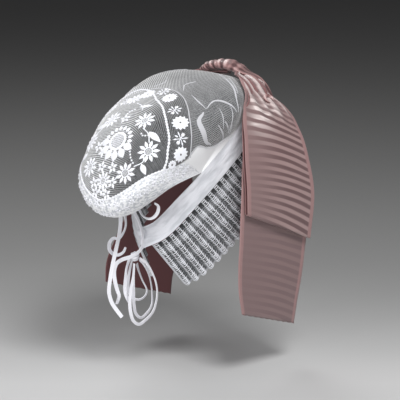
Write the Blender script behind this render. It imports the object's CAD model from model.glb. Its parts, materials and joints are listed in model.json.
import json
from math import atan2, cos, pi, radians, sin, sqrt

import bpy
import numpy as np
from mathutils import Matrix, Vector
from mathutils.bvhtree import BVHTree

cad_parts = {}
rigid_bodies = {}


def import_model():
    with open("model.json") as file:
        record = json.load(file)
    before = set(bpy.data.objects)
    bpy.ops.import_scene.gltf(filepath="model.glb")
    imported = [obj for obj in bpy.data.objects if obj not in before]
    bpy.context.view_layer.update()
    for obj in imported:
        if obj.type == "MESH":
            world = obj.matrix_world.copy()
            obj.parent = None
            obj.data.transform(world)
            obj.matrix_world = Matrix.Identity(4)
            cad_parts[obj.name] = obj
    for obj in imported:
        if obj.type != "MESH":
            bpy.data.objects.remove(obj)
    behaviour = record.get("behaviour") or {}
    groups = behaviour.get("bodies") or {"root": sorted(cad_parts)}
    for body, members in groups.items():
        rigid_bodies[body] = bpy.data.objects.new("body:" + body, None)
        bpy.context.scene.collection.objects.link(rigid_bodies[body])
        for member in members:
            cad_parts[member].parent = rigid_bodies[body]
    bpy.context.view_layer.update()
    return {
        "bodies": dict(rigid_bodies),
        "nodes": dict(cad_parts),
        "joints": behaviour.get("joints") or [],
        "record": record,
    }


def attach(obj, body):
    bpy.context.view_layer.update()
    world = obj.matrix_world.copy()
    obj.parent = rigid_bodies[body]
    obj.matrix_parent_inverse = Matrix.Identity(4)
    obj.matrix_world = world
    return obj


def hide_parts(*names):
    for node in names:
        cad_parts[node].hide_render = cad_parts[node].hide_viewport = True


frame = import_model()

# A white lace cap with a linen band, a pleated lace frill and a satin ribbon bow
MM = 0.001

# Head that the cap is cut for, in millimetres
HEAD_LENGTH = 190
HEAD_WIDTH = 150
HEAD_HEIGHT = 220
HEAD_FORWARD = 5

# Cap
BAND_WIDTH = 23
CROWN_REACH = 107
FRILL_WIDTH = 67
FRILL_SETBACK = 11
PLEAT_PITCH = 11
PLEAT_DEPTH = 5.2
SEWING_GAP = 0.5
TIP_ALONG = 0.188
CROWN_SAMPLES = 160
CROWN_COLUMNS = 144
CROWN_SPAN = 12
SEAM_TIPS = 8.2
SEAM_MIDDLE = 3

# Frill seam from the nape to the top: shares of head length, width and height, and slope in degrees
SEAM = [
    # forward, side, up, drop, flare
    (-0.51, 0.02, -0.859, 54, 12),
    (-0.442, 0.18, -0.795, 53, 14),
    (-0.316, 0.38, -0.609, 49, 17),
    (-0.19, 0.467, -0.477, 48, 13),
    (-0.063, 0.52, -0.357, 46, 9),
    (0.053, 0.527, -0.259, 44, 9),
    (0.147, 0.493, -0.164, 41, 10),
    (0.226, 0.367, -0.085, 38, 10),
    (0.274, 0.193, -0.055, 36, 6),
    (0.285, 0, -0.045, 35, 0),
]

# Crown sections that fan out from the slit tips: angles from forward in degrees, then shares
CROWN = [
    # turn, tip, arm, puff, fullness
    (63, 62, 1.12, 0.25, 0.67),
    (76, 78, 0.96, 0.23, 0.71),
    (87, 92, 0.85, 0.21, 0.73),
    (102, 106, 0.78, 0.19, 0.76),
    (120, 120, 0.76, 0.17, 0.76),
    (148, 138, 0.79, 0.14, 0.75),
    (173, 152, 0.87, 0.11, 0.71),
    (189, 163, 0.97, 0.08, 0.66),
    (200, 172, 1.03, 0.06, 0.61),
    (208, 180, 0.95, 0.04, 0.55),
    (213, 186, 0.81, 0.03, 0.5),
    (214, 190, 0.7, 0.02, 0.45),
]


def place(forward, side, up):
    return np.array([-side, -forward, up], float)


def evenly(steps):
    """Shares from 0 to 1 in so many steps."""
    return np.linspace(0, 1, steps + 1)


def ramp(value, start, width):
    """0 up to start, 1 from start plus width on, straight between."""
    return np.clip((value - start) / width, 0, 1)


def unit(v):
    return v / np.maximum(np.linalg.norm(v, axis=-1, keepdims=True), 1e-9)


def smooth_line(points, count):
    """A centripetal curve through points, sampled count times for each of its spans."""
    points = np.asarray(points, float)
    first = 2 * points[0] - points[1]
    last = 2 * points[-1] - points[-2]
    padded = np.concatenate([[first], points, [last]])
    out = []
    for k in range(len(points) - 1):
        p0, p1, p2, p3 = padded[k:k + 4]
        d0, d1, d2 = [max(np.linalg.norm(b - a), 1e-8) ** 0.5 for a, b in ((p0, p1), (p1, p2), (p2, p3))]
        m1 = ((p1 - p0) / d0 - (p2 - p0) / (d0 + d1) + (p2 - p1) / d1) * d1
        m2 = ((p2 - p1) / d1 - (p3 - p1) / (d1 + d2) + (p3 - p2) / d2) * d1
        t = np.linspace(0, 1, count, endpoint=False)[:, None]
        out.append(p1 + m1 * t + (3 * (p2 - p1) - 2 * m1 - m2) * t ** 2
                   + (2 * (p1 - p2) + m1 + m2) * t ** 3)
    out.append(points[-1:])
    return np.concatenate(out)


def distances(line):
    steps = np.linalg.norm(np.diff(line, axis=0), axis=1)
    return np.concatenate([[0], np.cumsum(steps)])


def along(line, where, shares):
    """Values of a sampled line at shares of the length measured by where."""
    total = where[-1]
    return np.stack([np.interp(np.asarray(shares) * total, where, line[:, k]) for k in range(3)], -1)


def both_sides(rows):
    right = np.array(rows, float)
    left = right[-2::-1] * [-1, 1, 1]
    return np.concatenate([right, left])


def slope_of(drop, flare):
    drop, flare = radians(drop), radians(flare)
    return place(cos(drop) * cos(flare), sin(flare), -sin(drop) * cos(flare))


SEAM_LINE = smooth_line(both_sides([place(f * HEAD_LENGTH, s * HEAD_WIDTH, u * HEAD_HEIGHT)
                                    for f, s, u, d, e in SEAM]), 40)
SLOPE_LINE = smooth_line(both_sides([slope_of(d, e) for f, s, u, d, e in SEAM]), 40)
SEAM_WHERE = distances(SEAM_LINE)
SEAM_LENGTH = SEAM_WHERE[-1]


def seam_point(shares):
    return along(SEAM_LINE, SEAM_WHERE, shares)


def seam_run(shares):
    shares = np.asarray(shares, float)
    return unit(seam_point(np.minimum(shares + 0.003, 1)) - seam_point(np.maximum(shares - 0.003, 0)))


def head_normal(points):
    centre = place(HEAD_FORWARD, 0, -HEAD_HEIGHT / 2)
    offset = points - centre
    offset[..., 2] = np.maximum(offset[..., 2], 0)
    size = np.array([HEAD_WIDTH, HEAD_LENGTH, HEAD_HEIGHT], float)
    return unit(offset / size ** 2)


def band_rise(shares):
    return unit(np.cross(head_normal(seam_point(shares)), seam_run(shares)))


def crown_sections():
    """Lines across the crown from slit tip to slit tip, from the band's edge back to the hem."""
    shares = np.linspace(TIP_ALONG, 1 - TIP_ALONG, CROWN_SAMPLES + 1)
    edge = seam_point(shares) + band_rise(shares) * (BAND_WIDTH + SEWING_GAP)
    tip = edge[0]
    angle = np.linspace(-pi / 2, pi / 2, CROWN_SAMPLES + 1)
    inward = np.maximum(np.cos(angle), 0)
    lines = [edge]
    for turn, at_tip, arm, puff, fullness in CROWN:
        reach = arm * CROWN_REACH * inward ** fullness
        direction = np.radians(at_tip + (turn - at_tip) * inward ** 2)
        side = -tip[0] * np.sin(-angle) + puff * HEAD_WIDTH * np.sin(-2 * angle)
        lines.append(np.stack([-side, tip[1] - reach * np.cos(direction),
                               tip[2] + reach * np.sin(direction)], -1))
    return lines



def crown_grid():
    """Points of the whole crown: rows from the band to the hem, columns from the right to the left."""
    shares = evenly(CROWN_COLUMNS)
    lines = [along(line, distances(line), shares) for line in crown_sections()]
    return np.stack([smooth_line([line[k] for line in lines], CROWN_SPAN)
                     for k in range(CROWN_COLUMNS + 1)], 1)


GRID = crown_grid()


# Ribbon, knot and tapes: the sizes that the solids have too
RIBBON_WIDTH = 112
RIBBON_FORWARD = 14
RIBBON_SPREAD = 0.787 * HEAD_WIDTH
LOOP_DROP = 172
TAIL_DROP = 285
LOOP_GAP = 6
TAIL_GAP = 4
LAYER_GAP = 0.6
SATIN = 1
SHOW_INNER = 3.8
INNER_FORWARD = 4.5
RIBBON_THICKNESS = 0.5
FINE_GATHER = 0.45
FINE_GATHERS = 22
LOOP_STEPS = 160
LOOP_COLUMNS = 96
TAIL_STEPS = 140
TAIL_COLUMNS = 40
TAIL_FORWARD = 9
FRAY = 0.8
KNOT_LENGTH = 105
KNOT_WIDTH = 24
KNOT_THICKNESS = 12
CURL_AT = (0.34, 0.6)
CURL_RADIUS = 7.2
TAPE_WIDTH = 4.6
TAPE_THICKNESS = 0.7

# Edges of the hanging ribbon: shares of its width, spread and drop; left is the left copy's shift
LOOP = [
    # rear forward, side, up, front forward, side, up, left
    (0.214, 0.068, 0.049, 0.429, 0.076, 0, 0),
    (0.196, 0.237, 0.047, 0.429, 0.271, -0.035, 0),
    (0.143, 0.424, 0.026, 0.446, 0.466, -0.105, 0),
    (0.009, 0.593, -0.035, 0.473, 0.644, -0.174, 0),
    (-0.152, 0.746, -0.11, 0.473, 0.771, -0.244, 0),
    (-0.312, 0.831, -0.203, 0.464, 0.847, -0.308, 0.02),
    (-0.438, 0.89, -0.32, 0.464, 0.915, -0.384, 0.06),
    (-0.482, 0.941, -0.453, 0.473, 0.966, -0.512, 0.12),
    (-0.491, 0.975, -0.64, 0.5, 1.008, -0.756, 0.2),
    (-0.491, 0.983, -0.808, 0.464, 0.992, -1.064, 0.24),
]
TAIL = [
    (-0.518, 0.983, 0, 0.5, 0.966, 0.25, 0.24),
    (-0.545, 0.966, 0.25, 0.464, 0.932, 0.53, 0.12),
    (-0.554, 0.958, 0.53, 0.41, 0.898, 0.8, -0.02),
    (-0.527, 0.966, 0.76, 0.375, 0.873, 1.04, -0.05),
]
KNOT = [
    # side, forward, up, girth
    (-0.429, 2.083, 0.233, 0.5),
    (-0.324, 2.125, 0.65, 0.9),
    (-0.143, 2.167, 0.983, 1),
    (0.029, 2.208, 0.96, 1.03),
    (0.2, 2.292, 0.38, 1.04),
    (0.352, 2.458, -0.08, 0.84),
    (0.445, 2.56, -0.82, 0.76),
    (0.535, 2.66, -1.88, 0.5),
]

# Routes of the tapes in millimetres: forward, right, up
TAPES = {
    "tie_long": [(-120.2, -11.3, -139.5), (-120, -11, -156), (-123.5, -10, -171), (-128, -10.5, -187),
                 (-132, -11.5, -203), (-135, -13.5, -223), (-136, -14.5, -238), (-133, -13, -251),
                 (-128.5, -10, -260), (-123.5, -6, -269)],
    "tie_small": [(-120, -4.4, -139.5), (-115, -7.5, -160), (-115.5, -12.5, -171), (-118.5, -16.5, -177),
                  (-124, -19, -176), (-128.5, -21, -181), (-128.5, -21, -189.5), (-124, -19.5, -195),
                  (-118.5, -16.5, -196.5), (-113, -14, -193.5), (-110.5, -13, -188)],
    "tie_cross": [(-119.3, 9, -138), (-111, 10.5, -153), (-107, 11, -165), (-104.5, 10.5, -176.5),
                  (-104.5, 8.5, -186), (-108.5, 4, -193), (-113.5, -1, -197), (-119, -10, -201),
                  (-122, -16, -206), (-123.5, -19, -215.5), (-124, -17.5, -226), (-122.5, -15, -238),
                  (-121.5, -13, -245), (-123, -15.5, -255)],
    "tie_end": [(-108, -9.1, -202.1), (-110.5, -11.5, -213), (-111.5, -12.5, -228), (-112, -13, -239),
                (-111.5, -11, -247), (-110, -8.5, -253.5)],
    "bow_large": [(-102.8, 2.9, -200.3), (-95, 5, -206), (-88.5, 6.5, -215.5), (-83, 8.5, -229),
                  (-81, 9.5, -241.5), (-82.5, 9.5, -254.5), (-87.5, 8.5, -267), (-96.5, 5.5, -275.5),
                  (-104, 2, -280), (-109.5, -1, -275.5), (-113, -2.5, -264), (-113.5, -3, -250.5),
                  (-112.5, -2, -237), (-110.5, 0, -220.5), (-109, 0, -205.5)],
    "bow_second": [(-98, -2.9, -202.9), (-91.5, -2.5, -209.5), (-85, -1.5, -221), (-81.5, -1, -232.5),
                   (-80.5, 0.5, -247.5), (-81.5, 0.5, -261), (-87.5, -1.5, -270), (-95.5, -3.5, -274.5),
                   (-101.5, -5.5, -269), (-104.5, -5.5, -257.5), (-105.5, -5, -241.5), (-105.5, -5, -224.5),
                   (-104, -6, -208)],
    "bow_inner": [(-95, -10.5, -210), (-92, -10, -219.5), (-88.5, -8, -230.5), (-84, -5, -243.5),
                  (-86, -6, -250), (-91.5, -9, -254), (-97, -12.5, -253), (-102.5, -15, -246.5),
                  (-104.5, -15.5, -235), (-103.5, -14.5, -220.5), (-102, -10.9, -203.7)],
    "drawstring_loop": [(-118.3, 18.5, -136), (-116, 24, -144.5), (-113.5, 30.5, -146.5),
                        (-111.5, 37, -143.5), (-110.5, 42, -137), (-111, 43, -130), (-113, 39, -127)],
}
# What each tape's far end is on, how far its broad side turns from the cap's back, and how much that varies
TAPE_WAYS = {
    "tie_long": ("bare", 0.1, 0.5),
    "tie_small": ("bare", 0.9, 0.3),
    "tie_cross": ("bare", 0.6, 0.5),
    "tie_end": ("bare", 0.8, 0.3),
    "bow_large": ("object", 0.95, 0.35),
    "bow_second": ("object", 1.05, 0.3),
    "bow_inner": ("object", 1.05, 0.3),
    "drawstring_loop": ("object", 0.95, 0.3),
}
TAPE_KNOT = (-103, -5.5, -199)
TAPE_KNOT_SIZE = (19.4, 10.4, 10.4)


def colour(red, green, blue):
    """Linear colour from 8-bit screen values."""
    def linear(value):
        share = value / 255
        return share / 12.92 if share <= 0.04045 else ((share + 0.055) / 1.055) ** 2.4
    return (linear(red), linear(green), linear(blue), 1)


class Value:
    """A number in a material's node tree; arithmetic with it makes math nodes."""

    def __init__(self, paint, socket):
        self.paint = paint
        self.socket = socket

    def __add__(self, other):
        return self.paint.math("ADD", self, other)

    def __mul__(self, other):
        return self.paint.math("MULTIPLY", self, other)

    def __sub__(self, other):
        return self.paint.math("SUBTRACT", self, other)

    def __rsub__(self, other):
        return self.paint.math("SUBTRACT", other, self)


class Paint:
    """A material's node tree around one Principled shader."""

    def __init__(self, name, base, roughness, sheen=0.0):
        self.material = bpy.data.materials.new(name)
        self.material.use_nodes = True
        self.tree = self.material.node_tree
        self.shader = self.tree.nodes["Principled BSDF"]
        self.shader.inputs["Base Color"].default_value = base
        self.shader.inputs["Roughness"].default_value = roughness
        self.shader.inputs["Sheen Weight"].default_value = sheen

    def node(self, kind, **settings):
        node = self.tree.nodes.new(kind)
        for key, value in settings.items():
            setattr(node, key, value)
        return node

    def feed(self, socket, value):
        """Link a value of the tree, or set a constant directly."""
        if isinstance(value, Value):
            self.tree.links.new(value.socket, socket)
        else:
            socket.default_value = value

    def drive(self, name, value):
        self.feed(self.shader.inputs[name], value)

    def math(self, operation, first, second=0.0):
        node = self.node("ShaderNodeMath", operation=operation)
        self.feed(node.inputs[0], first)
        self.feed(node.inputs[1], second)
        return Value(self, node.outputs[0])

    def uv(self, layer="UVMap"):
        node = self.node("ShaderNodeUVMap", uv_map=layer)
        split = self.node("ShaderNodeSeparateXYZ")
        self.tree.links.new(node.outputs[0], split.inputs[0])
        return Value(self, split.outputs[0]), Value(self, split.outputs[1])

    def step(self, value, low, high):
        """0 below low, 1 above high, smooth between."""
        node = self.node("ShaderNodeMapRange", interpolation_type="SMOOTHSTEP")
        self.feed(node.inputs[0], value)
        self.feed(node.inputs[1], low)
        self.feed(node.inputs[2], high)
        return Value(self, node.outputs[0])

    def fall(self, value, low, high):
        """1 below low, 0 above high, smooth between."""
        return 1 - self.step(value, low, high)

    def wave(self, value, pitch):
        return self.math("SINE", value * (2 * pi / pitch))

    def most(self, first, second):
        return self.math("MAXIMUM", first, second)

    def off(self, value, middle):
        """How far a value lies from the middle."""
        return self.math("ABSOLUTE", value - middle)

    def noise(self, u, v, across, down):
        """Cloudy values around 0.5, with so many clouds a millimetre across and down."""
        spot = self.node("ShaderNodeCombineXYZ")
        self.feed(spot.inputs[0], u * across)
        self.feed(spot.inputs[1], v * down)
        node = self.node("ShaderNodeTexNoise", noise_dimensions="2D")
        self.tree.links.new(spot.outputs[0], node.inputs["Vector"])
        self.feed(node.inputs["Scale"], 1)
        return Value(self, node.outputs[0])

    def mix(self, share, first, second):
        node = self.node("ShaderNodeMix", data_type="RGBA")
        self.feed(node.inputs[0], share)
        self.feed(node.inputs[6], first)
        self.feed(node.inputs[7], second)
        return Value(self, node.outputs[2])

    def bump(self, height, strength, distance):
        node = self.node("ShaderNodeBump")
        self.feed(node.inputs["Strength"], strength)
        self.feed(node.inputs["Distance"], distance)
        self.feed(node.inputs["Height"], height)
        self.tree.links.new(node.outputs[0], self.shader.inputs["Normal"])


def add_object(name, data):
    obj = bpy.data.objects.new(name, data)
    bpy.context.scene.collection.objects.link(obj)
    return obj


def add_uv(obj, name, pairs):
    """A UV map with one pair a point."""
    mesh = obj.data
    layer = mesh.uv_layers.new(name=name)
    corners = np.empty(len(mesh.loops), dtype=np.int32)
    mesh.loops.foreach_get("vertex_index", corners)
    layer.data.foreach_set("uv", np.asarray(pairs, float).reshape(-1, 2)[corners].ravel())


def make_mesh(name, points, faces, paint, uv, smooth=True):
    """A mesh object from millimetre points."""
    mesh = bpy.data.meshes.new(name)
    mesh.from_pydata((np.asarray(points) * MM).tolist(), [], faces)
    mesh.validate()
    mesh.polygons.foreach_set("use_smooth", [smooth] * len(mesh.polygons))
    mesh.materials.append(paint.material)
    obj = add_object(name, mesh)
    add_uv(obj, "UVMap", uv)
    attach(obj, "root")
    return obj


def grid_faces(rows, columns, flip=False):
    faces = []
    for row in range(rows - 1):
        for column in range(columns - 1):
            a = row * columns + column
            quad = (a, a + 1, a + columns + 1, a + columns)
            faces.append(quad[::-1] if flip else quad)
    return faces


def grid_normals(grid):
    down = np.gradient(grid, axis=0)
    across = np.gradient(grid, axis=1)
    return unit(np.cross(across, down))


def grid_uv(grid):
    """Millimetres across and along a grid, measured at its middle row and column."""
    rows, columns = grid.shape[:2]
    along_rows = distances(grid[:, columns // 2])
    widths = np.stack([distances(row) for row in grid])
    widths -= widths[:, -1:] / 2
    return np.stack([widths, np.repeat(along_rows[:, None], columns, 1)], -1).reshape(-1, 2)


def cloth_object(name, grid, paint, uv=None, smooth=True):
    if uv is None:
        uv = grid_uv(grid)
    return make_mesh(name, grid.reshape(-1, 3), grid_faces(*grid.shape[:2]), paint, uv, smooth)


# Crown as a place to look points up: rows 0 to 12 from the band to the hem, across 0 to 1
def crown_at(row, across):
    r = np.clip(np.asarray(row, float) * CROWN_SPAN, 0, GRID.shape[0] - 1.001)
    c = np.clip(np.asarray(across, float) * CROWN_COLUMNS, 0, CROWN_COLUMNS - 0.001)
    i, j = r.astype(int), c.astype(int)
    s, t = (r - i)[..., None], (c - j)[..., None]
    top = GRID[i, j] * (1 - t) + GRID[i, j + 1] * t
    bottom = GRID[i + 1, j] * (1 - t) + GRID[i + 1, j + 1] * t
    return top * (1 - s) + bottom * s


def panel_seam(across):
    middle = np.sin(pi * np.asarray(across))
    return SEAM_TIPS + (SEAM_MIDDLE - SEAM_TIPS) * middle


# Materials
WHITE = colour(240, 240, 246)
STITCHED = colour(246, 247, 253)
COVER_WHITE = colour(252, 253, 255)
COVER_SHADE = colour(204, 207, 214)
NET_DARK = colour(40, 42, 45)
LINEN_WHITE = colour(227, 228, 234)
LINEN_SHADE = colour(203, 205, 211)
LACE_THREAD = colour(232, 234, 239)
LACE_DENSE = colour(230, 232, 238)
LACE_EDGE = colour(226, 228, 234)
LACE_RIM = colour(228, 230, 236)
LACE_VALLEY = colour(62, 64, 68)
LACE_GATHER = colour(44, 45, 48)
LACE_HOLE = colour(30, 31, 34)
LACE_EYELET = colour(22, 23, 26)
SATIN_PINK = colour(150, 118, 118)
SATIN_LIT = colour(250, 236, 233)
SATIN_EDGE = colour(158, 124, 123)
SATIN_DEEP = colour(74, 46, 48)
KNOT_PINK = colour(170, 131, 129)
THREAD_PITCH = 2.5
NET_COVER = 0.84
RIB_PITCH = 1.2
BAR_PITCH = 2.3
DENSE_PITCH = 23
STRIPE_PITCH = 9.6
SCALLOP = 2
SELVEDGE = 6
FRILL_RUN = SEAM_LENGTH - 2 * FRILL_SETBACK
PLEATS = round(FRILL_RUN / PLEAT_PITCH)
EYELET_PITCH = 3.5
EYELETS_ACROSS = 3


def net_paint(name, slant, contrast, pale):
    """Net that lets light through; the Cover map says how much white cloth backs it and how hazy it is."""
    paint = Paint(name, WHITE, 0.9, 1)
    u, v = paint.uv()
    cover, haze = paint.uv("Cover")
    threads = paint.wave(u * slant + v, THREAD_PITCH)
    cross = paint.wave(u - v * slant, THREAD_PITCH * 0.8)
    weave = threads * contrast + cross * (contrast * 0.6)
    cloudy = paint.noise(u, v, 0.07, 0.07) * 0.24 + (pale - 0.12)
    lumps = paint.fall(paint.noise(u, v, 0.22, 0.22), 0.4, 0.58)
    cloth = paint.mix(lumps * haze, COVER_WHITE, COVER_SHADE)
    backed = paint.most(weave + cloudy + haze, cover)
    paint.drive("Base Color", paint.mix(backed, NET_DARK, cloth))
    thickness = weave * 0.25 + haze * 0.5 + NET_COVER
    paint.drive("Alpha", thickness * (1 - cover) + cover * 0.98)
    return paint


def satin_paint(name, light, dark):
    """Ribbon with glossy and matte stripes across it; the Fold map lights crests and darkens creases."""
    paint = Paint(name, SATIN_PINK, 0.4, 0.15)
    u, v = paint.uv()
    crest, crease = paint.uv("Fold")
    uneven = paint.noise(u, v, 0.02, 0.4) * 1.4 - 0.7
    stripe = paint.step(paint.wave(v, STRIPE_PITCH) + uneven, -0.5, 0.5)
    below_knot = paint.step(v, 70, 108)
    broken = (stripe - 0.5) * below_knot + 0.5
    strength = (paint.step(u, -48, 20) * 0.9 + 0.1) * (below_knot * 0.6 + 0.4)
    border = paint.step(paint.off(u, 0), RIBBON_WIDTH / 2 - SELVEDGE - 1, RIBBON_WIDTH / 2 - SELVEDGE + 1)
    cloth = paint.mix((stripe - 0.5) * strength + 0.5, dark, light)
    cloth = paint.mix(crest * broken, cloth, SATIN_LIT)
    cloth = paint.mix(crease, cloth, SATIN_DEEP)
    paint.drive("Base Color", paint.mix(border, cloth, SATIN_EDGE))
    paint.drive("Roughness", border * 0.15 - broken * 0.17 + 0.5)
    paint.bump(paint.wave(v, RIB_PITCH), 0.15, 0.0003)
    return paint


def linen_paint():
    """Plain white linen with soft wrinkles along it."""
    paint = Paint("linen", WHITE, 0.92, 0.2)
    u, v = paint.uv()
    wrinkle = paint.noise(u, v, 0.035, 0.16)
    weave = paint.noise(u, v, 1.5, 1.5)
    paint.drive("Base Color", paint.mix(paint.step(wrinkle, 0.3, 0.65), LINEN_SHADE, LINEN_WHITE))
    paint.bump(wrinkle * 4 + weave, 0.5, 0.0008)
    return paint


def lace_paint():
    """Pleated lace: rows of eyelets, sprigs on each pleat and a dense scalloped edge."""
    paint = Paint("lace", WHITE, 0.9, 0.2)
    v = paint.uv()[1]
    pleat, ridge = paint.uv("Pleat")
    hem = paint.step(v, FRILL_WIDTH - 4.5, FRILL_WIDTH - 2.5)
    ends = paint.most(paint.fall(pleat, 0.22, 0.4), paint.step(pleat, PLEATS - 0.4, PLEATS - 0.22))
    edge = paint.most(hem, ends)
    zones = paint.math("SINE", v * (2 * pi / DENSE_PITCH) - 1.9) + paint.math("SINE", v * 2.9) * 0.3
    dense = paint.most(paint.step(paint.wave(pleat, 0.5) * 0.35 + zones, 0.45, 0.85), edge)
    off_row = paint.off(paint.math("FRACT", v * (1 / EYELET_PITCH)), 0.5)
    off_column = paint.off(paint.math("FRACT", pleat * EYELETS_ACROSS), 0.5)
    hole = paint.fall(paint.most(off_row, off_column * 0.9), 0.1, 0.36) * (0.95 - dense * 0.8)
    cloudy = paint.noise(pleat, v, 6.5, 0.5) * 1.6 - 0.8
    cloth = paint.mix(paint.wave(v, BAR_PITCH) * 0.8 + 0.45 + cloudy, LACE_HOLE, LACE_THREAD)
    cloth = paint.mix(dense * (cloudy * 1.2 + 0.45), cloth, LACE_DENSE)
    rim = paint.fall(paint.off(ridge, 0.72), 0.05, 0.16)
    cloth = paint.mix(rim * 0.7, cloth, LACE_RIM)
    cloth = paint.mix(paint.fall(ridge, 0.12, 0.75) * 0.7, cloth, LACE_VALLEY)
    gather = paint.fall(v, 2, 9) * paint.fall(ridge, 0.5, 0.9)
    cloth = paint.mix(gather, cloth, LACE_GATHER)
    cloth = paint.mix(edge * 0.6, cloth, LACE_EDGE)
    paint.drive("Base Color", paint.mix(hole, cloth, LACE_EYELET))
    return paint


NET_FRONT = net_paint("net_front", 1.0, 0.55, -0.12)
NET_BACK = net_paint("net_back", 0.12, 0.6, -0.36)
EMBROIDERY = Paint("embroidery", STITCHED, 0.8, 0.3)
LINEN = linen_paint()
LACE = lace_paint()
SATIN_FACE = satin_paint("satin_face", colour(165, 139, 137), colour(106, 81, 82))
SATIN_TAIL = satin_paint("satin_tail", colour(137, 113, 112), colour(124, 101, 102))
SATIN_KNOT = satin_paint("satin_knot", KNOT_PINK, KNOT_PINK)
SATIN_REVERSE = Paint("satin_reverse", colour(112, 68, 70), 0.6, 0.1)
SATIN_INNER = Paint("satin_inner", colour(142, 100, 100), 0.6, 0.1)
COTTON = Paint("cotton", WHITE, 0.88, 0.2)
CREASE = Paint("net_crease", WHITE, 0.9, 0.2)
CREASE.shader.inputs["Alpha"].default_value = 0.6


# Edge of the white cloth that backs the net beside the slit tips and along the hem
COVER_EDGE = [
    # row, across
    (0, 0.185),
    (0.42, 0.14),
    (1.42, 0.104),
    (2.25, 0.104),
    (3.6, 0.118),
    (5, 0.155),
    (6.33, 0.139),
    (7.2, 0.15),
    (7.58, 0.16),
    (7.95, 0.2),
    (8.05, 0.3),
    (8.2, 0.375),
    (8.33, 0.444),
    (8.5, 0.5),
    (12, 0.51),
]


def cover_share(row, across):
    """1 where white cloth backs the net and 0 in the open net."""
    rows, edge = np.array(COVER_EDGE).T
    inset = np.minimum(across, 1 - across)
    return ramp(np.interp(row, rows, edge) - inset, -0.006, 0.012)


def crown_panel(name, paint, row_shares, first, last):
    """The net between two lines of the crown, both given as rows for each column."""
    across = evenly(CROWN_COLUMNS * 2)
    rows = np.stack([first(across) + (last(across) - first(across)) * share for share in row_shares])
    columns = np.tile(across, (len(row_shares), 1))
    obj = cloth_object(name, crown_at(rows, columns), paint)
    cover = cover_share(rows, columns)
    low_haze = 0.3 * ramp(rows, 6.6, 1.2) * ramp(columns, 0.38, 0.08)
    left_haze = 0.66 * ramp(columns, 0.39, 0.12) * ramp(rows, 1.7, 2.5)
    front_haze = 0.22 * ramp(0.8 - rows, 0, 0.8) + 0.12 * ramp(columns, 0.5, 0.1)
    haze = np.maximum(np.maximum(low_haze, left_haze), front_haze)
    haze = np.where(cover > 0.6, ramp(rows, 6.6, 0.6), haze)
    add_uv(obj, "Cover", np.stack([cover, haze], -1))
    return obj


# Embroidery: everything is laid on the crown and stands a little above the net
CROWN_TREE = BVHTree.FromPolygons(GRID.reshape(-1, 3).tolist(), grid_faces(*GRID.shape[:2]))
CROWN_MIDDLE = place(-60, 0, -70)
LIFT = 0.3


def nearest(point):
    """The nearest place on the crown, the outward direction there and how far away it is."""
    spot, normal, face, away = CROWN_TREE.find_nearest(Vector(point))
    spot, normal = np.array(spot), np.array(normal)
    if np.dot(normal, spot - CROWN_MIDDLE) < 0:
        normal = -normal
    return spot, normal, away


def on_crown(points, lift):
    """The nearest places on the crown, lifted outward."""
    out = []
    for point, height in zip(points, lift):
        spot, normal, away = nearest(point)
        out.append(spot + normal * height)
    return np.array(out)


def route_points(route, fineness, spacing, least=1):
    """Shares at about one spacing along a route over the crown, and what gives the place at a share."""
    route = smooth_line([(row, across, 0) for row, across in route], fineness)
    middle = crown_at(route[:, 0], route[:, 1])
    where = distances(middle)
    shares = evenly(max(int(where[-1] / spacing), least))
    return shares, lambda at: along(middle, where, at)


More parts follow.
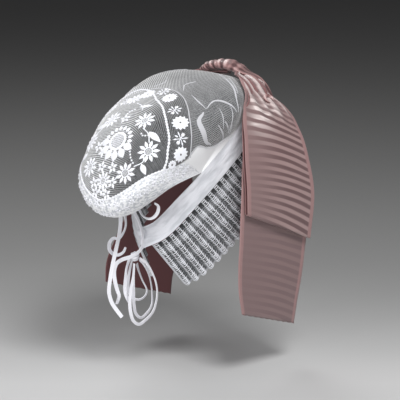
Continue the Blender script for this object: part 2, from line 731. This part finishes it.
class Needlework:
    """Patches of stitching, gathered into one mesh."""

    def __init__(self):
        self.points = []
        self.faces = []
        self.count = 0

    def patch(self, grid):
        rows, columns = grid.shape[:2]
        self.faces += [tuple(i + self.count for i in face) for face in grid_faces(rows, columns)]
        self.points.append(grid.reshape(-1, 3))
        self.count += rows * columns

    def flat_patch(self, frame, shape, lift):
        """A patch drawn in the plane that touches the crown at frame, then laid on it."""
        spot, right, down = frame
        points = spot + shape[..., :1] * right + shape[..., 1:] * down
        laid = on_crown(points.reshape(-1, 3), np.broadcast_to(lift, shape.shape[:2]).ravel())
        self.patch(laid.reshape(shape.shape[0], shape.shape[1], 3))

    def petal(self, frame, angle, start, length, width, height=0.9, tip=0.75):
        t = evenly(6)
        side = np.linspace(-1, 1, 5)
        half = width / 2 * np.sin(pi * np.clip(t, 0.02, 0.99) ** tip)
        x = np.repeat((start + t * length)[:, None], 5, 1)
        y = half[:, None] * side[None]
        c, s = cos(angle), sin(angle)
        shape = np.stack([x * c - y * s, x * s + y * c], -1)
        lift = LIFT + height * (1 - side[None] ** 2) * np.sin(pi * np.clip(t, 0.05, 0.95))[:, None]
        self.flat_patch(frame, shape, lift)

    def ring(self, frame, inner, outer, height=0.7, sides=20):
        angle = np.linspace(0, 2 * pi, sides + 1)
        radius = np.array([inner, (inner + outer) / 2, outer])
        shape = np.stack([np.outer(radius, np.cos(angle)), np.outer(radius, np.sin(angle))], -1)
        self.flat_patch(frame, shape, LIFT + np.array([[0], [height], [0]]))

    def bar(self, frame, start, end, width, height=0.35):
        start, end = np.array(start, float), np.array(end, float)
        run = unit(end - start)
        side = np.array([-run[1], run[0]]) * width / 2
        t = evenly(3)[:, None]
        middle = start * (1 - t) + end * t
        shape = np.stack([middle - side, middle, middle + side], 1)
        self.flat_patch(frame, shape, LIFT + np.array([0, height, 0]))

    def hatch(self, frame, radius, pitch=1.8, width=0.42):
        for turn in (0.5, 0.5 + pi / 2):
            run = np.array([cos(turn), sin(turn)])
            across = np.array([-run[1], run[0]])
            for step in np.arange(-radius + pitch / 2, radius, pitch):
                half = sqrt(max(radius ** 2 - step ** 2, 0))
                self.bar(frame, across * step - run * half, across * step + run * half, width)

    def line(self, route, width, height=0.5, lift=LIFT, taper=0.0):
        """A raised line along rows and places across the crown."""
        shares, place_at = route_points(route, 10, 1.5, 4)
        middle = on_crown(place_at(shares), 0 * shares)
        normal = unit(on_crown(middle, 0 * shares + 1) - middle)
        side = unit(np.cross(normal, np.gradient(middle, axis=0)))
        half = width / 2 * (1 - taper + taper * np.sin(pi * shares))[:, None]
        edge = normal * lift
        self.patch(np.stack([middle - side * half + edge, middle + normal * (lift + height),
                             middle + side * half + edge], 1))

    def beads(self, route, pitch, length, width):
        """A chain of oval stitches along a route."""
        shares, place_at = route_points(route, 12, pitch)
        ahead = place_at(np.minimum(shares + 0.002, 1))
        behind = place_at(np.maximum(shares - 0.002, 0))
        for spot, run in zip(place_at(shares), unit(ahead - behind)):
            normal = unit(on_crown([spot], [1])[0] - on_crown([spot], [0])[0])
            frame = (spot, run, unit(np.cross(normal, run)))
            self.petal(frame, 0, -length / 2, length, width, 1.0, 1.0)

    def finish(self, name, paint):
        flat = np.zeros((self.count, 2))
        return make_mesh(name, np.concatenate(self.points), self.faces, paint, flat)


def crown_frame(row, across):
    """A place on the crown with the directions across it and down toward the hem."""
    spot = crown_at(row, across)
    right = crown_at(row, across + 0.01) - crown_at(row, across - 0.01)
    down = crown_at(row + 0.1, across) - crown_at(row - 0.1, across)
    right = unit(right)
    down = unit(down - right * np.dot(down, right))
    return spot, right, down


def mirror(route):
    return [(row, 1 - across) for row, across in route]


FLOWER_PETALS = 10
FLOWERS = [
    # row, across, radius, heart
    (4.17, 0.604, 12, 4),
    (5.33, 0.431, 13.5, 4.4),
    (6.42, 0.326, 14, 4.6),
    (7.25, 0.396, 13.5, 4.6),
    (7.55, 0.5, 12, 4),
    (5.5, 0.62, 13, 4.4),
    (6.5, 0.68, 13, 4.4),
    (7.3, 0.604, 13, 4.4),
]
SMALL_FLOWERS = [(7, 0.47), (7.05, 0.53), (7.6, 0.45), (7.9, 0.5), (7.75, 0.55),
                 (8.1, 0.47), (8.1, 0.53), (6.6, 0.56), (6.5, 0.6), (5.4, 0.54)]
FIFTH = 1.257
BORDER_FLOWERS = [
    # row, across, radius; each has its mirror image
    (3.67, 0.438, 10),
    (4.83, 0.285, 10.5),
    (6.33, 0.188, 10),
    (7.45, 0.19, 6),
]
SPRAYS = [
    # row, across, turn in degrees
    (3.3, 0.5, 10),
    (4.33, 0.354, 20),
    (5.5, 0.236, 0),
    (4.33, 0.646, -20),
    (5.5, 0.764, 0),
]
LEAVES = [
    # start row, across, end row, across, width
    (4.78, 0.52, 4.5, 0.462, 6),
    (5.67, 0.372, 5.95, 0.296, 8),
    (6.9, 0.335, 7.7, 0.295, 7),
    (5.67, 0.628, 5.95, 0.704, 8),
    (6.9, 0.665, 7.7, 0.705, 7),
]
STEMS = [
    [(4.95, 0.49), (4.72, 0.505), (4.5, 0.56)],
    [(5.6, 0.41), (5.75, 0.37), (6.08, 0.34)],
    [(6.65, 0.335), (6.9, 0.335), (7.0, 0.365)],
    [(7.3, 0.43), (7.5, 0.45), (7.5, 0.47)],
    [(5.6, 0.59), (5.75, 0.63), (6.08, 0.66)],
]
SEEDS = [
    [(4.98, 0.53), (5.08, 0.545), (5.2, 0.55)],
    [(5.8, 0.4), (5.86, 0.385), (5.8, 0.365)],
    [(6.45, 0.41), (6.65, 0.395), (6.85, 0.375)],
]
CHAIN_RIGHT = [(4.02, 0.486), (4.4, 0.42), (4.92, 0.361), (5.67, 0.278), (6.4, 0.247), (7, 0.229),
               (7.6, 0.222), (8, 0.235), (8.03, 0.3), (8.2, 0.375), (8.33, 0.444), (8.4, 0.5)]
CHAIN_LEFT = [(4.02, 0.486), (3.65, 0.53), (3.3, 0.58), (3.15, 0.64), (3.4, 0.69), (4.3, 0.735),
              (5.67, 0.76), (7, 0.771), (8, 0.765), (8.03, 0.7), (8.2, 0.625), (8.33, 0.556), (8.4, 0.5)]
CREASES = [
    # width, route
    (1.8, [(2.92, 0.375), (3.08, 0.312), (3.08, 0.271)]),
    (2.4, [(3.08, 0.271), (2.25, 0.285), (1.17, 0.222)]),
    (6.5, [(3.33, 0.264), (4.0, 0.222), (3.92, 0.174), (2.75, 0.118)]),
    (2, [(2.5, 0.194), (0.92, 0.118)]),
    (2.6, [(0.75, 0.431), (1.08, 0.319), (1.25, 0.264), (1.08, 0.222)]),
    (1.8, [(0.67, 0.389), (1.08, 0.285)]),
    (1.6, [(2.9, 0.42), (2.4, 0.45), (1.9, 0.43)]),
    (1.8, [(1.9, 0.2), (1.2, 0.16)]),
    (1.6, [(1.3, 0.19), (0.7, 0.15)]),
    (1.3, [(2.3, 0.25), (1.8, 0.17)]),
    (1.3, [(1.65, 0.25), (1.0, 0.15)]),
    (1.2, [(1.0, 0.24), (0.5, 0.19)]),
]


def medallion(work):
    """The large flower at the middle of the back."""
    frame = crown_frame(6.17, 0.5)
    work.hatch(frame, 8.4)
    work.ring(frame, 8.8, 12.6, sides=36)
    for k in range(11):
        work.petal(frame, radians(-190 + 20 * k), 14.5, 7.5, 5.2)
    for k in range(6):
        work.petal(frame, radians(12 + 31 * k), 11.5, 15, 10, 1.1, 0.95)


def border_flower(work, frame, radius):
    work.ring(frame, 1.2, radius * 0.66, height=0.5)
    for k in range(12):
        work.petal(frame, 2 * pi * k / 12 + 0.2, radius * 0.45, radius * 0.55, radius * 0.42)


def spray(work, frame, turn):
    """A stem with four arms, each with three small petals at its end."""
    run = np.array([sin(turn), -cos(turn)])
    work.bar(frame, -8 * run, 8 * run, 1)
    for arm in (0.7, pi - 0.7, -0.7, pi + 0.7):
        direction = np.array([cos(arm + turn), sin(arm + turn)])
        work.bar(frame, direction, direction * 6, 1)
        for bend, start in ((0, 4), (0.75, 3.4), (-0.75, 3.4)):
            work.petal(frame, arm + turn + bend * 0.9, start, 5.4 - abs(bend), 1.9)


def leaf(work, start_at, end_at, width):
    start, end = crown_at(*start_at), crown_at(*end_at)
    frame = crown_frame(*((a + b) / 2 for a, b in zip(start_at, end_at)))
    run = end - start
    length = np.linalg.norm(run)
    turn = atan2(np.dot(run, frame[2]), np.dot(run, frame[1]))
    work.petal(frame, turn, -length / 2, length, width, 1, 0.8)


def embroidery():
    work = Needlework()
    for row, across, radius, heart in FLOWERS:
        frame = crown_frame(row, across)
        for k in range(FLOWER_PETALS):
            work.petal(frame, 2 * pi * k / FLOWER_PETALS + row, heart + 0.6, radius - heart - 0.6,
                       1.65 * pi * radius * 0.6 / FLOWER_PETALS)
        work.ring(frame, heart - 0.2, heart + 1)
        work.hatch(frame, heart)
    medallion(work)
    for k, (row, across) in enumerate(SMALL_FLOWERS):
        frame = crown_frame(row, across)
        for turn in range(5):
            work.petal(frame, turn * FIFTH + k, 1.2, 6.5, 3.8)
    for row, across, radius in BORDER_FLOWERS:
        border_flower(work, crown_frame(row, across), radius)
        border_flower(work, crown_frame(row, 1 - across), radius)
    for row, across, turn in SPRAYS:
        spray(work, crown_frame(row, across), radians(turn))
    for *ends, width in LEAVES:
        leaf(work, ends[:2], ends[2:], width)
    for route in STEMS:
        work.line(route, 1.3)
    for route in SEEDS:
        work.beads(route, 3.2, 3.0, 2.6)
    for route in (CHAIN_RIGHT, CHAIN_LEFT):
        work.beads(route, 4.2, 5.6, 3.2)
    return work.finish("crown_embroidery", EMBROIDERY)


def hem_stitching():
    """Small rosettes and eyelets on the white cloth along the hem."""
    work = Needlework()
    rows, edge = np.array(COVER_EDGE).T
    seed = 0
    for row in (7.5, 8.0, 8.7, 9.4):
        for inset in np.arange(0.1, 0.5, 0.035):
            if np.interp(row, rows, edge) < inset + 0.012:
                continue
            seed += 1
            for across in (inset, 1 - inset):
                frame = crown_frame(row + 0.12 * sin(seed * 2.4), across)
                if seed % 3 == 0:
                    work.ring(frame, 0.9, 2.8, height=0.9)
                for k in range(5):
                    work.petal(frame, seed + k * FIFTH, 1 if seed % 3 else 2.6, 3, 2, 1.1)
    return work.finish("hem_embroidery", EMBROIDERY)


def crease_lines():
    work = Needlework()
    for width, route in CREASES:
        for half in (route, mirror(route)):
            work.line(half, width, 0.5, 0.25, 0.75)
    across = np.linspace(0.135, 0.865, 40)
    work.line(list(zip(panel_seam(across), across)), 1.3)
    for half in (COVER_EDGE[:7], mirror(COVER_EDGE[:7])):
        work.line(half, 1.5)
    return work.finish("net_creases", CREASE)


def band_object():
    shares = np.linspace(0, 1, 200)
    grid = np.stack([seam_point(shares) + band_rise(shares) * (BAND_WIDTH + SEWING_GAP * 0.9) * share
                     for share in evenly(8)])
    return cloth_object("band_linen", grid, LINEN)


def frill_object():
    steps = np.linspace(0, PLEATS, PLEATS * 16 + 1)
    shares = (FRILL_SETBACK + FRILL_RUN * steps / PLEATS) / SEAM_LENGTH
    slope = unit(along(SLOPE_LINE, SEAM_WHERE, shares))
    outward = unit(np.cross(slope, seam_run(shares)))
    phase = steps % 1
    height = 0.5 - 0.5 * np.cos(2 * pi * phase)
    height = height ** 0.55 - 0.5
    scallop = SCALLOP * np.abs(np.sin(pi * phase))
    rows = []
    for share in evenly(40):
        depth = PLEAT_DEPTH * (0.42 + 0.4 * share) * height
        reach = SEWING_GAP + share * (FRILL_WIDTH + scallop - SCALLOP)
        rows.append(seam_point(shares) + slope * reach[:, None]
                    + outward * depth[:, None])
    grid = np.stack(rows)
    obj = cloth_object("frill_lace", grid, LACE)
    ridge = np.tile(height + 0.5, (len(rows), 1))
    add_uv(obj, "Pleat", np.stack([np.tile(steps, (len(rows), 1)), ridge], -1))
    return obj


# Rear edge over the crown, as shares of the ribbon's width: further back on the right, forward on the left
REAR_START = {1: (0.42, 0.15, -0.03, -0.135, -0.285, -0.385), -1: (0.36, 0.33, 0.26, 0.06)}
# Millimetres that the left loop's rear edge lies lower, from its first row on
LEFT_LOWER = (7, 6, 4, 2)
# Millimetres that the right loop's front edge reaches further forward, from the row given on
FRONT_WIDER = (1.5, 3.5, 4)
WIDER_FROM = 7


def ribbon_edges(table, side, height):
    pairs = []
    for rf, rs, ru, ff, fs, fu, left in table:
        shift = left if side < 0 else 0
        pairs.append([place(RIBBON_FORWARD + (f + shift) * RIBBON_WIDTH, side * s * RIBBON_SPREAD, height(u))
                      for f, s, u in ((rf, rs, ru), (ff, fs, fu))])
    return np.array(pairs)


def loop_edges(table, side):
    """Edges over the crown and down the side, with the rear one started where this side's fold lies."""
    edges = ribbon_edges(table, side, loop_height)
    if side > 0:
        for k, wider in enumerate(FRONT_WIDER[:len(edges) - WIDER_FROM]):
            edges[WIDER_FROM + k, 1, 1] -= wider
    for k, forward in enumerate(REAR_START[side]):
        edges[k, 0, 1] = -(RIBBON_FORWARD + forward * RIBBON_WIDTH)
    if side < 0:
        for k, lower in enumerate(LEFT_LOWER):
            edges[k, 0, 2] -= lower
    return edges


def off_crown(grid, gap):
    """Points that would sink into the crown are brought out to lie on it."""
    out = grid.copy()
    for index in np.ndindex(grid.shape[:2]):
        point = grid[index]
        if point[2] < -60:
            continue
        spot, normal, away = nearest(point)
        height = np.dot(point - spot, normal)
        if height < gap and away < 30:
            out[index] = point + normal * (gap - height)
    return out


def loop_height(up):
    return up * LOOP_DROP


def tail_height(up):
    return -LOOP_DROP - up * (TAIL_DROP - LOOP_DROP)


def ribbon_grid(edges, steps, columns, depth):
    """Rows across a ribbon between its two edges, and the inward direction of each row."""
    shares = evenly(steps)
    lines = []
    for k in (0, 1):
        line = smooth_line(edges[:, k], 24)
        lines.append(along(line, evenly(len(line) - 1), shares))
    middle = lines[0] + lines[1]
    run = unit(np.gradient(middle, axis=0))
    inward = unit(np.cross(lines[1] - lines[0], run))
    flip = np.where(inward[:, :1] * lines[0][:, :1] > 0, -1, 1)
    inward = inward * flip
    across = evenly(columns)[:, None]
    grid = lines[0][:, None] * (1 - across) + lines[1][:, None] * across
    grid = grid + (inward * depth(shares)[:, None])[:, None]
    return grid, inward


# Gathers that fan out from the knot: place across the ribbon at the knot and lower down
GATHERS = [
    # start, end, height, breadth
    (-0.3, 0.2, 2.6, 0.07),
    (0.01, 0.51, 3.4, 0.08),
    (0.3, 0.66, 2.4, 0.05),
    (0.575, 0.79, 3.2, 0.08),
    (0.85, 0.94, 2.0, 0.045),
]


def gather_height(s, w):
    """Height of the gathers in millimetres at shares along and across the ribbon."""
    height = 0
    fade = np.exp(-np.clip(s - 0.38, 0, 1) / 0.13)
    for start, end, tall, breadth in GATHERS:
        centre = start + (end - start) * (s - 0.22) / 0.43
        spread = breadth * (0.6 + s)
        height = height + tall * fade * np.exp(-((w - centre) / spread) ** 2)
    fine = np.exp(-np.clip(s - 0.05, 0, 1) / 0.1)
    return height + fine * FINE_GATHER * np.sin(FINE_GATHERS * pi * w + 4 * s)


def stripe_drop(s):
    """How far a stripe hangs lower at the front edge than at the rear one, in millimetres."""
    return np.interp(s, [0, 0.5, 0.82, 0.96, 1], [30, 26, 24, 11, 8])


def ribbon_map(grid, s):
    """Stripes run by shares of the full width and slant as the ribbon was pulled into the knot."""
    rows, columns = grid.shape[:2]
    v = distances((grid[:, 0] + grid[:, -1]) / 2)
    w = np.linspace(-0.5, 0.5, columns)
    u = np.tile(w * RIBBON_WIDTH, (rows, 1))
    slant = -stripe_drop(s)[:, None] * (w + 0.5) ** 1.9 + 0.8 * np.sin(5.2 * w + 0.8)
    return np.stack([u, v[:, None] + slant], -1).reshape(-1, 2)


def thick_ribbon(name, grid, side, paints, uv, fold):
    """Ribbon with a face, a reverse and closed edges."""
    rows, columns = grid.shape[:2]
    count = rows * columns
    outward = grid_normals(grid) * -side
    points = np.concatenate([grid.reshape(-1, 3), (grid - outward * RIBBON_THICKNESS).reshape(-1, 3)])
    faces = grid_faces(rows, columns, side > 0)
    under = [tuple(i + count for i in face[::-1]) for face in faces]
    ring = (list(range(columns)) + [r * columns + columns - 1 for r in range(1, rows)]
            + [(rows - 1) * columns + c for c in range(columns - 2, -1, -1)]
            + [r * columns for r in range(rows - 2, 0, -1)])
    rim = []
    for a, c in zip(ring, ring[1:] + ring[:1]):
        quad = (a, a + count, c + count, c)
        rim.append(quad[::-1] if side > 0 else quad)
    obj = make_mesh(name, points, faces + under + rim, paints[0], np.tile(uv, (2, 1)))
    obj.data.materials.append(paints[1].material)
    index = [0] * len(faces) + [1] * len(under) + [0] * len(rim)
    obj.data.polygons.foreach_set("material_index", index)
    add_uv(obj, "Fold", np.tile(fold.reshape(-1, 2), (2, 1)))
    return obj


# Bright spots where the satin bends away from the knot
SHINES = [
    # share along the ribbon, share across, strength
    (0.38, 0.5, 0.9),
    (0.427, 0.62, 0.8),
    (0.443, 0.3, 0.9),
    (0.476, 0.42, 1),
    (0.508, 0.46, 0.9),
    (0.53, 0.22, 0.7),
    (0.565, 0.2, 0.5),
]


def fold_map(height, s):
    """Share of light on the crests and of dark in the creases between them."""
    w = evenly(height.shape[1] - 1)
    glow = 0.6 * np.exp(-((s - 0.5) / 0.13) ** 2 - ((w - 0.32) / 0.22) ** 2)
    crest = np.clip((height - 1.0) / 1.2, 0, 1) + glow
    for down, over, size in SHINES:
        crest = crest + size * np.exp(-((s - down) / 0.009) ** 2 - ((w - over) / 0.075) ** 2)
    crease = np.clip((0.9 - height) / 0.9, 0, 1) * np.exp(-np.clip(s - 0.12, 0, 1) / 0.12) * 0.5
    return np.stack([np.clip(crest, 0, 1), crease], -1)


def rear_forward(grid, size):
    """Bring the rear edge forward by a few millimetres, and the rest of each row in proportion."""
    grid[..., 1] -= size[:, None] * (1 - evenly(grid.shape[1] - 1))
    return grid


def loop_outer(side):
    """Outer layer of a loop with its gathers, and their heights."""
    edges = loop_edges(LOOP, side)
    shares = evenly(LOOP_STEPS)
    outer, inward = ribbon_grid(edges, LOOP_STEPS, LOOP_COLUMNS, lambda s: 0 * s)
    outer = off_crown(outer, 3 * (LAYER_GAP + SATIN))
    outer = rear_forward(outer, SHOW_INNER * ramp(shares, 0.4, 0.25))
    height = gather_height(shares[:, None], evenly(LOOP_COLUMNS))
    return outer - inward[:, None] * (height - 1)[..., None], height


def ribbon_loop(name, side):
    edges = loop_edges(LOOP, side)
    shares = evenly(LOOP_STEPS)
    outer, height = loop_outer(side)
    closed = LAYER_GAP + SATIN
    inner, inward = ribbon_grid(edges, LOOP_STEPS, LOOP_COLUMNS,
                                lambda s: closed + (LOOP_GAP - closed) * np.minimum(s * 1.5, 1))
    inner = off_crown(inner, 2 * (LAYER_GAP + SATIN))
    inner = rear_forward(inner, INNER_FORWARD * ramp(shares, 0, 0.2))
    down = unit(outer[-1] - outer[-2])
    middle = (outer[-1] + inner[-1]) / 2
    fold = [middle + (outer[-1] - middle) * cos(angle) + down * sin(angle) * LOOP_GAP / 2
            for angle in np.linspace(0, pi, 10)[1:-1]]
    grid = np.concatenate([outer, np.array(fold), inner[::-1]])
    way = np.concatenate([shares, np.ones(len(fold)), shares[::-1]])
    calm = np.zeros((len(fold) + LOOP_STEPS + 1, LOOP_COLUMNS + 1, 2))
    shading = np.concatenate([fold_map(height, shares[:, None]), calm])
    return thick_ribbon(name, grid, side, (SATIN_FACE, SATIN_INNER), ribbon_map(grid, way), shading)


def ribbon_tail(name, side):
    edges = np.concatenate([loop_edges(LOOP[:-1], side), ribbon_edges(TAIL, side, tail_height)])

    def behind(s):
        apart = 2 * (LAYER_GAP + SATIN)
        apart = apart + (LOOP_GAP + TAIL_GAP - apart) * np.minimum(s * 1.6, 1)
        t = np.clip((1 - s) / 0.4, 0, 1)
        return apart * t * t * (3 - 2 * t)

    grid, inward = ribbon_grid(edges, TAIL_STEPS, TAIL_COLUMNS, behind)
    grid = off_crown(grid, LAYER_GAP + SATIN)
    if side > 0:
        shares = evenly(TAIL_STEPS)
        grid = rear_forward(grid, TAIL_FORWARD * ramp(shares, 0, 1 / 6) * ramp(0.72 - shares, 0, 0.16))
    grid[-1, :, 2] -= FRAY * np.abs(np.sin(np.arange(TAIL_COLUMNS + 1) * 2.4))
    return thick_ribbon(name, grid, side, (SATIN_TAIL, SATIN_REVERSE),
                        ribbon_map(grid, np.ones(TAIL_STEPS + 1)), np.zeros(grid.shape[:2] + (2,)))


def plain_map(grid):
    """Every point in the light of a stripe, so that no stripes show."""
    return np.tile([0, STRIPE_PITCH / 4], (grid[..., 0].size, 1))


def knot_object():
    """The ribbon's knot: gathers wrap round it at one end and run along it to the other."""
    centre = smooth_line([place(f * KNOT_WIDTH, s * KNOT_LENGTH, u * KNOT_THICKNESS)
                          for s, f, u, g in KNOT], 40)
    s = evenly(len(centre) - 1)[:, None]
    girth = np.interp(s, evenly(len(KNOT) - 1), [row[-1] for row in KNOT])
    run = unit(np.gradient(centre, axis=0))
    wide = unit(np.cross([0, 0, 1], run))
    thick = unit(np.cross(run, wide))
    angle = np.linspace(0, 2 * pi, 97)[None]
    turns = 2 * pi * (12.5 * s + 0.6 * np.sin(7 * s)) + 1.5 * np.sin(angle + 0.5)
    wraps = 0.65 * np.sin(turns) + 0.5 * np.sin(1.7 * turns + 3 * np.sin(angle + 6 * s))
    lengths = np.sin(6 * angle + 9 * s) * 0.8 + 0.4 * np.sin(15 * s + 2 * angle)
    # 0 where the gathers wrap round the knot, 1 where they run along it
    share = ramp(s, 0.42, 0.16)
    ripple = wraps * (1 - share) + lengths * share
    radius = girth * (1 + (0.07 + 0.04 * share) * ripple) * (1 - 0.12 * share)
    grid = (centre[:, None]
            + wide[:, None] * (np.cos(angle) * radius * KNOT_WIDTH / 2)[..., None]
            + thick[:, None] * (np.sin(angle) * radius * KNOT_THICKNESS / 2 * (1 - 0.45 * share))[..., None])
    ends = [np.repeat(centre[k][None, None], grid.shape[1], 1) for k in (0, -1)]
    grid = np.concatenate([ends[0], grid, ends[1]])
    obj = cloth_object("ribbon_knot_satin", grid, SATIN_KNOT, plain_map(grid))
    ripple, shade = [np.concatenate([value[:1], value, value[-1:]]) for value in (ripple, share)]
    lit = np.exp(-((angle - 2.2) / 0.65) ** 2)
    crest = ramp(ripple, 0.1, 0.4) * lit * (1 - shade)
    crest = np.maximum(crest, 0.75 * shade * np.exp(-((angle - 3.4) / 0.22) ** 2))
    crease = ramp(0.3 - ripple, 0, 0.8) * 0.9
    crease = np.maximum(crease, 0.8 * shade * (1 - 0.6 * lit) * (ripple < 0.7))
    add_uv(obj, "Fold", np.stack([crest, crease], -1))
    return obj


def curl_object():
    """The ribbon's end, curled up where it comes out of the knot."""
    outer, height = loop_outer(1)
    row, column = round(CURL_AT[0] * LOOP_STEPS), round(CURL_AT[1] * LOOP_COLUMNS)
    spot = outer[row, column]
    down = unit(outer[row + 4, column] - outer[row - 4, column])
    across = unit(outer[row, column + 4] - outer[row, column - 4])
    outward = unit(np.cross(down, across))
    if outward[0] > 0:
        outward = -outward
    start, sweep = 1.9, 5
    turn = np.linspace(start, start + sweep, 60)[:, None]
    ring = np.linspace(0, 2 * pi, 13)[None]
    radius = CURL_RADIUS * (1.15 - 0.09 * turn)
    swell = 0.15 + 0.85 * np.sin(pi * (turn - start) / sweep)
    reach = radius + 2.3 * np.cos(ring) * swell
    lift = 0.8 + 2.2 * np.sin(ring) * swell
    grid = (spot + across * (reach * np.cos(turn))[..., None] + down * (reach * np.sin(turn))[..., None]
            + outward * lift[..., None])
    obj = cloth_object("ribbon_curl_satin", grid, SATIN_KNOT, plain_map(grid))
    twist = np.sin(ring + 2 * turn)
    add_uv(obj, "Fold", np.stack([np.maximum(twist, 0) * 0.8, np.maximum(-twist, 0) * 0.6], -1))


BROAD_SIDE = unit(np.array([-0.7, 0.7, 0.15]))


def tape_object(name):
    line = smooth_line([place(*point) for point in TAPES[name]], 8)
    where = distances(line)
    count = max(int(where[-1] / 1.2), 8)
    centre = along(line, where, evenly(count))
    run = unit(np.gradient(centre, axis=0))
    wide = unit(np.cross(run, BROAD_SIDE))
    thick = unit(np.cross(wide, run))
    far_end, turn, swing = TAPE_WAYS[name]
    twist = turn + swing * np.sin(7 * evenly(count))[:, None]
    wide, thick = wide * np.cos(twist) + thick * np.sin(twist), thick * np.cos(twist) - wide * np.sin(twist)
    half = [(-0.5, -0.5), (-0.5, 0.5), (0, 0.6), (0.5, 0.5), (0.5, -0.5), (0, -0.6), (-0.5, -0.5)]
    grid = np.stack([centre + wide * a * TAPE_WIDTH + thick * b * TAPE_THICKNESS for a, b in half], 1)
    obj = cloth_object(name + "_tape", grid, COTTON, smooth=False)
    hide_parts(name)


def tape_knot_object():
    """A small knot of wound tape, turned by 45 degrees about the vertical."""
    turns = np.linspace(0, 2 * pi, 33)
    polar = np.linspace(0, pi, 17)
    ball = np.stack([np.outer(np.sin(polar), np.cos(turns)), np.outer(np.sin(polar), np.sin(turns)),
                     np.outer(np.cos(polar), np.ones(33))], -1)
    wraps = 1 + 0.1 * np.sin(7 * polar[:, None] + turns[None])
    ball = ball * wraps[..., None] * (np.array(TAPE_KNOT_SIZE) / 2)
    x, y, z = ball[..., 0], ball[..., 1], ball[..., 2]
    ball = np.stack([(x + y) * sqrt(0.5), (y - x) * sqrt(0.5), z], -1) + place(*TAPE_KNOT)
    return cloth_object("tie_knot_tape", ball, COTTON)


crown_front = crown_panel("crown_front_net", NET_FRONT, evenly(60), lambda a: 0 * a, panel_seam)
crown_back = crown_panel("crown_back_net", NET_BACK, evenly(100), panel_seam, lambda a: 12 + 0 * a)
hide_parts("crown_front")
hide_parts("crown_back")
stitching = embroidery()
hem = hem_stitching()
creases = crease_lines()
band = band_object()
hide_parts("band")
frill = frill_object()
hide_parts("frill")
for side, word in ((1, "right"), (-1, "left")):
    loop = ribbon_loop(f"ribbon_loop_{word}_satin", side)
    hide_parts(f"ribbon_loop_{word}")
    tail = ribbon_tail(f"ribbon_tail_{word}_satin", side)
    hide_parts(f"ribbon_tail_{word}")
knot = knot_object()
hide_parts("ribbon_knot")
curl_object()
for name in TAPES:
    tape_object(name)
tie_knot = tape_knot_object()
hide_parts("tie_knot")

# Stage: floor that darkens with distance, four soft lights and the camera, in metres
FLOOR = -0.335
FLOOR_FADE = 0.7
FLOOR_DIM = 0.19
FLOOR_START = -6
FLAT_FLOOR = 3.8
FLOOR_CURVE = 2
FLOOR_TOP = 5
FLOOR_HALF = 7
FLOOR_NEAR = colour(202, 202, 202)
FLOOR_FAR = colour(104, 104, 103)
AIM = Vector((0, 0, -0.146))
TURN = radians(225)
RISE = radians(12)
BACK = Vector((sin(TURN) * cos(RISE), -cos(TURN) * cos(RISE), sin(RISE)))
DISTANCE = 2.6
VIEW_WIDTH = 0.48


def stage_objects():
    away = Vector((-BACK.x, -BACK.y, 0)).normalized()
    side = Vector((-away.y, away.x, 0))
    rows = [(FLOOR_START, 0), (FLAT_FLOOR, 0)]
    for k in range(1, 25):
        turn = k / 24 * pi / 2
        rows.append((FLAT_FLOOR + FLOOR_CURVE * sin(turn), FLOOR_CURVE * (1 - cos(turn))))
    rows.append((FLAT_FLOOR + FLOOR_CURVE, FLOOR_TOP))
    points = [away * reach + side * width + Vector((0, 0, FLOOR + up))
              for reach, up in rows for width in (-FLOOR_HALF, FLOOR_HALF)]
    mesh = bpy.data.meshes.new("backdrop")
    mesh.from_pydata(points, [], [(k, k + 1, k + 3, k + 2) for k in range(0, len(points) - 2, 2)])
    mesh.polygons.foreach_set("use_smooth", [True] * len(mesh.polygons))
    paint = Paint("backdrop", colour(190, 190, 190), 0.9)
    where = paint.node("ShaderNodeNewGeometry")
    reach = paint.node("ShaderNodeVectorMath", operation="DOT_PRODUCT")
    paint.tree.links.new(where.outputs["Position"], reach.inputs[0])
    reach.inputs[1].default_value = away
    distance = Value(paint, reach.outputs["Value"])
    fade = paint.math("EXPONENT", distance * (-1 / FLOOR_FADE) - FLOOR_DIM)
    near = 1 - paint.step(distance, -0.1, 0.5) * 0.3 - paint.step(distance, 0.7, 2.9) * 0.7
    paint.drive("Base Color", paint.mix(fade * near, FLOOR_FAR, FLOOR_NEAR))
    mesh.materials.append(paint.material)
    add_object("backdrop", mesh)


def area_light(name, place_at, size, power):
    data = bpy.data.lights.new(name, "AREA")
    data.size = size
    data.energy = power
    obj = add_object(name, data)
    obj.location = place_at
    obj.rotation_euler = (AIM - Vector(place_at)).to_track_quat("-Z", "Y").to_euler()


def camera():
    data = bpy.data.cameras.new("camera")
    data.sensor_width = 36
    data.lens = 36 * DISTANCE / VIEW_WIDTH
    obj = add_object("camera", data)
    obj.location = AIM + BACK * DISTANCE
    obj.rotation_mode = "QUATERNION"
    obj.rotation_quaternion = (-BACK).to_track_quat("-Z", "Y")
    bpy.context.scene.camera = obj


stage_objects()
area_light("key", (-1.3, 0.5, 1.7), 0.8, 38)
area_light("front", (-1.5, 1.5, 0.2), 1.2, 10)
area_light("fill", (0.1, 2.0, 0.5), 1.4, 16)
area_light("rim", (1.2, -0.6, 1.4), 0.9, 12)
camera()
world = bpy.data.worlds.new("world")
bpy.context.scene.world = world
world.use_nodes = True
sky = world.node_tree.nodes["Background"]
sky.inputs["Color"].default_value = (0.5, 0.5, 0.52, 1)
sky.inputs["Strength"].default_value = 0.25
bpy.context.scene.view_settings.view_transform = "Standard"
